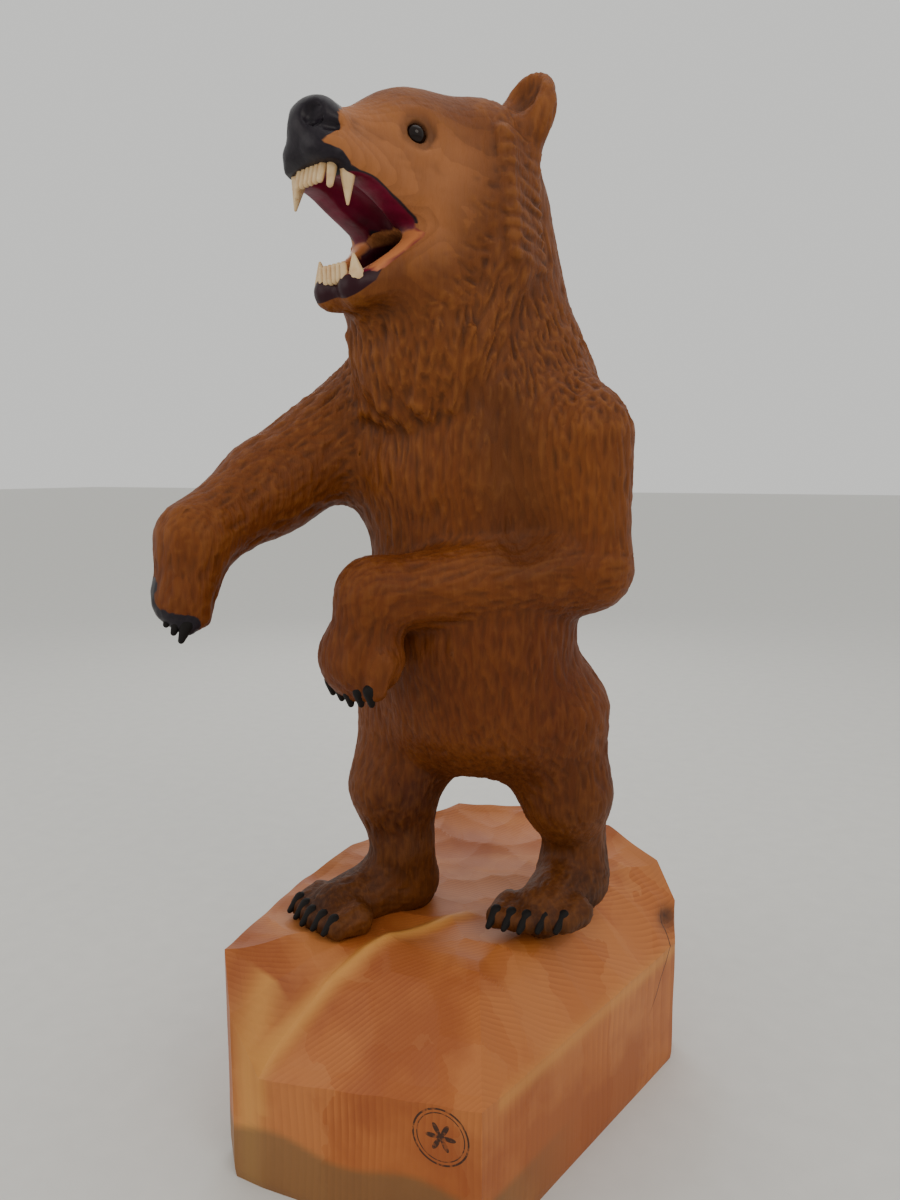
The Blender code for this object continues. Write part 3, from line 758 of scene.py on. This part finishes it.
def bare_wood():
    """Bare sealed softwood, sawn and left from the blade: a low sheen over orange red heartwood, yellow
    sapwood and fine dark growth rings, grey low on the front, with a burnt stamp."""
    material, tree, shader = new_material("bare sealed softwood")
    place = add_node(tree, "ShaderNodeTexCoord").outputs["Object"]
    rings = ring_lines(tree, place, 0.0033, 0.014)
    late_wood = add_node(tree, "ShaderNodeMapRange", {"From Min": 0.2, "From Max": 0.95}, {"Value": rings})
    colour = mix_colours(tree, late_wood.outputs["Result"], "#B56930", "#964D1C")
    faded = add_node(tree, "ShaderNodeTexNoise", {"Scale": 16.0, "Detail": 3.0}, {"Vector": place})
    faded_share = add_node(tree, "ShaderNodeMapRange",
                           {"From Min": 0.3, "From Max": 0.65, "To Min": 0.15, "To Max": 0.95},
                           {"Value": faded.outputs["Fac"]})
    colour = mix_colours(tree, faded_share.outputs["Result"], colour, "#AA6029")
    wobble = add_node(tree, "ShaderNodeTexNoise", {"Scale": 45.0, "Detail": 3.0}, {"Vector": place})
    bent = add_node(tree, "ShaderNodeVectorMath", {"operation": "MULTIPLY_ADD", 1: (0.03, 0.03, 0.03)},
                    {0: wobble.outputs["Color"], 2: place})
    squashed = add_node(tree, "ShaderNodeMapping", {"Scale": (20.0, 27.8, 1.0)}, {"Vector": bent.outputs[0]})
    cuts = add_node(tree, "ShaderNodeTexVoronoi", {"Scale": 1.0}, {"Vector": squashed.outputs[0]})
    cut_tone = add_node(tree, "ShaderNodeSeparateColor", {}, {"Color": cuts.outputs["Color"]})
    cut_share = add_node(tree, "ShaderNodeMapRange", {"To Max": 0.4}, {"Value": cut_tone.outputs["Red"]})
    colour = mix_colours(tree, cut_share.outputs["Result"], colour, "#C4824A")
    patches = add_node(tree, "ShaderNodeTexNoise", {"Scale": 12.0, "Detail": 5.0}, {"Vector": place})
    patch_share = add_node(tree, "ShaderNodeMapRange", {"From Min": 0.45, "From Max": 0.6, "To Max": 0.5},
                           {"Value": patches.outputs["Fac"]})
    colour = mix_colours(tree, patch_share.outputs["Result"], colour, "#86390F")
    layers = (("sapwood", "#CF9348"), ("weathered", "#6C5431"), ("knot", "#25130A"))
    colour = lay_fields(tree, colour, layers)
    beside_crack = add_node(tree, "ShaderNodeAttribute", {"attribute_name": "crack_side"})
    on_crack = add_node(tree, "ShaderNodeMath", {"operation": "COMPARE", 1: 0.0, 2: 0.0007},
                        {0: beside_crack.outputs["Fac"]})
    crack_reach = add_node(tree, "ShaderNodeAttribute", {"attribute_name": "crack_reach"})
    crack = add_node(tree, "ShaderNodeMath", {"operation": "MULTIPLY"},
                     {0: on_crack.outputs[0], 1: crack_reach.outputs["Fac"]})
    colour = mix_colours(tree, crack.outputs[0], colour, "#2A150B")
    colour = mix_colours(tree, stamp_ink(tree, place), colour, "#1C110A")
    tree.links.new(colour, shader.inputs["Base Color"])
    stretched = add_node(tree, "ShaderNodeMapping", {"Scale": (1.0, 1.0, 0.05)}, {"Vector": place})
    fibres = add_node(tree, "ShaderNodeTexNoise", {"Scale": 600.0, "Detail": 2.0},
                      {"Vector": stretched.outputs[0]})
    relief = add_node(tree, "ShaderNodeMath", {"operation": "MULTIPLY_ADD", 1: 0.25},
                      {0: late_wood.outputs["Result"], 2: fibres.outputs["Fac"]})
    bump = add_node(tree, "ShaderNodeBump", {"Strength": 0.35, "Distance": 0.0004},
                    {"Height": relief.outputs[0]})
    tree.links.new(bump.outputs["Normal"], shader.inputs["Normal"])
    shader.inputs["Roughness"].default_value = 0.5
    shader.inputs["Specular IOR Level"].default_value = 0.35
    return material


def write_attribute(mesh, name, values):
    """Keeps a number for each point of the mesh, for its material to read."""
    attribute = mesh.attributes.new(name, "FLOAT", "POINT")
    attribute.data.foreach_set("value", np.asarray(values, float))


def paint_bear(mesh):
    """The fields that tell the material where the stain is pale or dark, where shade and highlight are
    painted, and where the paint lies.
    """
    points = read_points(mesh)
    head = (points - np.array(HEAD_CENTRE)) @ HEAD_AXES.T
    forward, left, up = head.T
    on_face = clamp((forward + 4.5) / 5.0) * clamp((up + 14.0) / 6.0) * clamp((points[:, 2] - 74.0) / 4.0)
    off_brow = 0.85 - 0.75 * clamp(up / 4.0)
    write_attribute(mesh, "face_paleness", on_face * off_brow)
    crease = crease_depth(mesh)
    upper_half = clamp((points[:, 2] - 35.0) / 25.0)
    # Darker in the hollows: partly stain gathered in the cuts, partly painted shade.
    groove = np.clip(crease * 9.0 - 0.06, 0.0, 0.22 + 0.28 * upper_half)
    # A painted shadow in the fold where the left arm lies against the chest, laid into the same dark field.
    fold = 0.30 * np.exp(-(np.maximum(form_distance(points, arm_fold()), 0.0) / 3.0) ** 2)
    write_attribute(mesh, "groove", np.maximum(groove, fold))
    # Lighter on the ridges: partly wear, partly a painted highlight.
    worn = 0.08 + 0.22 * upper_half
    write_attribute(mesh, "ridge", np.clip(-crease * 10.0 - 0.2, 0.0, worn))
    write_attribute(mesh, "eye_shade", clamp(1.0 - eye_gap(points) / 1.1) * 0.7)
    mouth_gap = nearest_gap(points, MOUTH) - 0.2
    inside = nearest_gap(points, MOUTH[:-2]) - 0.2
    beyond = forward - MOUTH_CORNER_FORWARD
    above = up - MOUTH_CORNER_UP
    over_jaw = 0.866 * beyond + 0.5 * above
    down_jaw = 0.5 * beyond - 0.866 * above
    gum = np.maximum(np.abs(over_jaw + 0.1) - 0.6, np.maximum(0.5 - down_jaw, down_jaw - 7.4))
    mouth_edge = np.minimum(inside, nearest_gap(points, TONGUE) - 0.15)
    write_attribute(mesh, "mouth_edge", np.minimum(mouth_edge, gum))
    lip_width = 0.16 + 0.6 * clamp((forward - 10.5) / 1.5)
    lips = np.where((forward > -1.5) & (over_jaw > 0.5), mouth_gap - lip_width, 1.0)
    lower_lip = np.maximum(-over_jaw - 0.2 - 0.9 * clamp((down_jaw - 5.5) / 2.5), up + 9.0)
    nose = egg(in_head(13.0, 0.0, -3.4), (3.2, 3.9, 4.2), HEAD_AXES)
    upper_lip = egg(in_head(13.6, 0.0, -6.0), (2.0, 3.3, 1.8), HEAD_AXES)
    snout = np.minimum(form_distance(points, nose), form_distance(points, upper_lip))
    right_claws = nearest_gap(points, CLAWS[-5:]) - 0.7
    black = np.minimum(np.minimum(lips, snout), np.minimum(lower_lip, right_claws))
    write_attribute(mesh, "black_edge", black)
    write_attribute(mesh, "lower_lip", clamp(-12.0 - up) * (points[:, 2] > 60.0))
    # Painted shade that darkens the paint deep in the throat.
    throat = np.linalg.norm((head - (-2.5, 0.0, -10.4)) / (6.5, 4.4, 4.6), axis=1)
    write_attribute(mesh, "throat", clamp(1.5 - throat))
    write_attribute(mesh, "bare_gum", clamp(-gum / 0.2) * np.clip(np.abs(left) - 2.0, 0.0, 0.9))


def rim_corners():
    """The plinth's outline, as shares of its half width and half depth, with each corner's height of rim."""
    back = PLINTH_HEIGHT + PLINTH_BACK_RISE
    front = PLINTH_HEIGHT - PLINTH_FRONT_DROP
    outline = (
        (-0.92, -0.84, PLINTH_HEIGHT), (-0.78, -0.97, PLINTH_HEIGHT - 0.6 * PLINTH_FRONT_DROP),
        (-0.62, -0.98, front - 0.4 * PLINTH_FRONT_DROP), (0.50, -0.96, front),
        (0.97, 0.53, front), (0.93, 0.68, PLINTH_HEIGHT - 0.5 * PLINTH_FRONT_DROP),
        (0.80, 0.76, PLINTH_HEIGHT), (0.46, 0.90, back), (-0.10, 1.0, back),
        (-0.56, 0.88, back), (-0.93, 0.22, 0.5 * (back + PLINTH_HEIGHT)), (-1.0, -0.14, PLINTH_HEIGHT),
    )
    return [(x * PLINTH_WIDTH / 2, y * PLINTH_DEPTH / 2, height) for x, y, height in outline]


def rim_points(spacing):
    """The rim's corners with points set in between them."""
    corners = rim_corners()
    points = []
    for index, corner in enumerate(corners):
        following = np.array(corners[(index + 1) % len(corners)])
        steps = max(1, round(math.dist(corner[:2], following[:2]) / spacing))
        points += [np.array(corner) + (following - np.array(corner)) * step / steps for step in range(steps)]
    for point in points:
        point[2] += 0.0022 * noise.noise(Vector((point[0] * 38.0, point[1] * 38.0, 0.5)))
    return points


def dish(x, y):
    """The scallops that a round-nosed bar leaves: shallow dishes that meet in ridges, under 5 mm deep."""
    nearest = noise.voronoi(Vector((x / 0.050, y / 0.036, 0.3)))[0][0]
    return -0.0046 * (1.0 - min(1.0, nearest * nearest * 1.4))


def streak(x, y):
    """How near a place on the top is to the pale ridge from between the feet to the front right corner."""
    start = np.array((0.010, -0.020))
    end = np.array((-0.096, -0.178))
    along = end - start
    share = min(1.0, max(0.0, float(((x, y) - start) @ along / (along @ along))))
    gap = float(np.linalg.norm((x, y) - start - along * share))
    return math.exp(-(gap / 0.0065) ** 2) * min(1.0, share * 4.0 + 0.15)


KNOT_PLACE = Vector((0.147, 0.104, 0.131))


def knot_share(point):
    """How near a place is to the broken knot on the rim, to the bear's left."""
    gap = Vector(point) - KNOT_PLACE
    return math.exp(-((gap.x / 0.010) ** 2 + (gap.y / 0.012) ** 2 + (gap.z / 0.008) ** 2))


def build_plinth():
    """A block with straight sawn sides and a top that falls from the feet to the rim in shallow cuts."""
    rounding = 0.0012
    side_rows = 32
    rim = rim_points(0.0042)
    rings = [1.0 - 0.016 * step for step in range(62)]
    block = bmesh.new()
    rows = []
    for ring in rings:
        row = []
        for x, y, height in rim:
            fall = max(0.0, (ring - 0.5) / 0.5) ** 1.5
            level = PLINTH_HEIGHT + (height - PLINTH_HEIGHT) * fall
            edge = min(1.0, (1.0 - ring) / 0.05)
            level += (dish(x * ring, y * ring) + 0.004 * streak(x * ring, y * ring)) * edge
            level -= rounding * (1.0 - edge)
            hollow = knot_share((x * ring, y * ring, level))
            row.append(block.verts.new((x * ring - 0.004 * hollow, y * ring, level - 0.006 * hollow)))
        rows.append(row)
    sides = []
    for step in range(1, side_rows + 1):
        share = step / side_rows
        row = []
        for x, y, height in rim:
            saw = 1.0 + 0.0022 * noise.noise(Vector((x * 14.0, y * 14.0, share * 3.0)))
            shrink = saw * (1.0 - 0.006 * max(0.0, share - 0.95) / 0.05)
            level = (height - rounding) * (1.0 - share)
            hollow = knot_share((x * shrink, y * shrink, level))
            row.append(block.verts.new((x * shrink - 0.007 * hollow, y * shrink, level)))
        sides.append(row)
    for upper, lower in [(sides[0], rows[0])] + list(zip(sides[1:], sides)) + list(zip(rows, rows[1:])):
        for place in range(len(rim)):
            following = (place + 1) % len(rim)
            block.faces.new((upper[place], upper[following], lower[following], lower[place]))
    block.faces.new(rows[-1])
    block.faces.new(list(reversed(sides[-1])))
    bmesh.ops.recalc_face_normals(block, faces=block.faces)
    mesh = bpy.data.meshes.new("plinth")
    block.to_mesh(mesh)
    block.free()
    return add_object("plinth", mesh)


def paint_plinth(mesh):
    """Where the pale sapwood, the grey weathering, the knot and its crack lie."""
    points = read_points(mesh)
    pale = np.array([streak(x, y) for x, y, z in points.tolist()])
    top = points[:, 2] > 0.06
    corner = np.exp(-((points[:, 0] + 0.106) / 0.012) ** 2) * (points[:, 1] < -0.15)
    right_edge = np.exp(-((points[:, 2] - 0.106) / 0.006) ** 2) * (points[:, 0] > 0.082) * 0.45
    write_attribute(mesh, "sapwood", np.maximum(np.maximum(pale * top * 0.8, corner * 0.7), right_edge))
    low = clamp((0.047 + 0.005 * np.sin(points[:, 0] * 55.0) - points[:, 2]) / 0.006)
    write_attribute(mesh, "weathered", low * clamp((-0.06 - points[:, 1]) / 0.1) * 0.7)
    write_attribute(mesh, "knot", [min(1.0, knot_share(point) * 2.4) for point in points.tolist()])
    wander = np.array([0.003 * noise.noise(Vector((0.0, 0.0, z * 60.0))) for x, y, z in points.tolist()])
    from_knot = points - np.array(KNOT_PLACE)
    write_attribute(mesh, "crack_side", from_knot[:, 1] - 0.75 * from_knot[:, 2] - wander)
    reach = clamp((points[:, 2] - 0.065) / 0.01) * clamp((0.135 - points[:, 2]) / 0.004)
    write_attribute(mesh, "crack_reach", reach * (points[:, 0] > 0.1) * 0.9)


carving = carve_bear()
carving.data.materials.append(stained_wood())
teeth = carve_small("teeth", TEETH)
teeth.data.materials.append(tooth_paint())
claws = carve_small("claws", CLAWS)
claws.data.materials.append(claw_paint())
for piece in (carving, teeth, claws):
    real_size = Matrix.Scale(BEAR_HEIGHT / 100.0, 4)
    piece.data.transform(Matrix.Translation((0.0, 0.0, PLINTH_HEIGHT)) @ real_size)
    piece.data.shade_smooth()
plinth = build_plinth()
paint_plinth(plinth.data)
plinth.data.materials.append(bare_wood())
parts = [carving, teeth, claws, plinth]
with bpy.context.temp_override(active_object=carving, selected_editable_objects=parts):
    bpy.ops.object.join()
carving.name = "carving"
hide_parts("carved_bear_and_plinth")
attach(carving, "root")

# The eyes
# Two brown glass balls, pushed into sockets bored in the wood and glued.
# The glass is dark and glossy, with a little brown round the pupil where light gets in.


def eye_glass():
    """Dark brown glass with a polished face: nearly black, with a sharp highlight."""
    material, tree, shader = new_material("dark brown eye glass")
    place = add_node(tree, "ShaderNodeTexCoord").outputs["Object"]
    flecks = add_node(tree, "ShaderNodeTexNoise", {"Scale": 260.0, "Detail": 3.0}, {"Vector": place})
    colour = mix_colours(tree, flecks.outputs["Fac"], "#050302", "#220D05")
    tree.links.new(colour, shader.inputs["Base Color"])
    shader.inputs["Roughness"].default_value = 0.05
    shader.inputs["IOR"].default_value = 1.5
    shader.inputs["Specular IOR Level"].default_value = 0.25
    return material


glass = eye_glass()
for name in ("left_eye", "right_eye"):
    lowest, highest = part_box(name)
    middle = (Vector(lowest) + Vector(highest)) / 2.0
    ball = bmesh.new()
    bmesh.ops.create_uvsphere(ball, u_segments=48, v_segments=32, radius=EYE_DIAMETER / 2.0,
                              matrix=Matrix.Translation(middle))
    mesh = bpy.data.meshes.new(name + "_glass")
    ball.to_mesh(mesh)
    ball.free()
    mesh.shade_smooth()
    mesh.materials.append(glass)
    eye = add_object(name + "_glass", mesh)
    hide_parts(name)
    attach(eye, "root")

# The floor, the lights and the camera
# A plain matt floor and an even pale surround, which let the carving's colours show as they are.
# The light is soft from all round, a little stronger from the right.
FLOOR_SIZE = 40.0
SURROUND = "#D9D9D6"


def floor_paint():
    """Pale matt paint with a faint unevenness."""
    material, tree, shader = new_material("pale matt floor")
    place = add_node(tree, "ShaderNodeTexCoord").outputs["Object"]
    grain = add_node(tree, "ShaderNodeTexNoise", {"Scale": 40.0, "Detail": 2.0}, {"Vector": place})
    colour = mix_colours(tree, grain.outputs["Fac"], "#D2D1CD", "#DBDAD6")
    tree.links.new(colour, shader.inputs["Base Color"])
    shader.inputs["Roughness"].default_value = 0.8
    return material


def area_light(name, place, aim, size, power, colour):
    """A round soft light at a place, turned towards another."""
    lamp = bpy.data.lights.new(name, "AREA")
    lamp.shape = "DISK"
    lamp.size = size
    lamp.energy = power
    lamp.color = linear(colour)[:3]
    light = bpy.data.objects.new(name, lamp)
    light.location = place
    light.rotation_euler = (Vector(aim) - Vector(place)).to_track_quat("-Z", "Y").to_euler()
    bpy.context.collection.objects.link(light)


ground = bmesh.new()
bmesh.ops.create_grid(ground, x_segments=1, y_segments=1, size=FLOOR_SIZE / 2.0)
mesh = bpy.data.meshes.new("floor")
ground.to_mesh(mesh)
ground.free()
mesh.materials.append(floor_paint())
add_object("floor", mesh)

world = bpy.data.worlds.new("pale surround")
bpy.context.scene.world = world
world.use_nodes = True
world.node_tree.nodes["Background"].inputs["Color"].default_value = linear(SURROUND)
world.node_tree.nodes["Background"].inputs["Strength"].default_value = 1.15

MIDDLE = (0.0, -0.03, 0.45)
area_light("soft light from the right", (1.6, -1.2, 1.9), MIDDLE, 1.2, 11.0, "#FFF6EA")
area_light("soft light from the left", (-1.7, -1.6, 1.2), MIDDLE, 1.6, 9.0, "#FFF8F2")
area_light("light from above", (0.2, 0.3, 2.3), MIDDLE, 1.4, 4.0, "#FFFFFF")
area_light("light from behind", (-0.9, 1.7, 1.4), MIDDLE, 1.4, 7.0, "#FFFFFF")

photo_camera = bpy.data.cameras.new("photo camera")
photo_camera.sensor_fit = "VERTICAL"
photo_camera.sensor_height = 36.0
photo_camera.lens = 28.08
camera = bpy.data.objects.new("photo camera", photo_camera)
camera.location = (0.285, -0.695, 0.527)
camera.rotation_euler = (math.radians(90.0 - 8.0), 0.0, math.radians(24.0))
bpy.context.collection.objects.link(camera)
bpy.context.scene.camera = camera
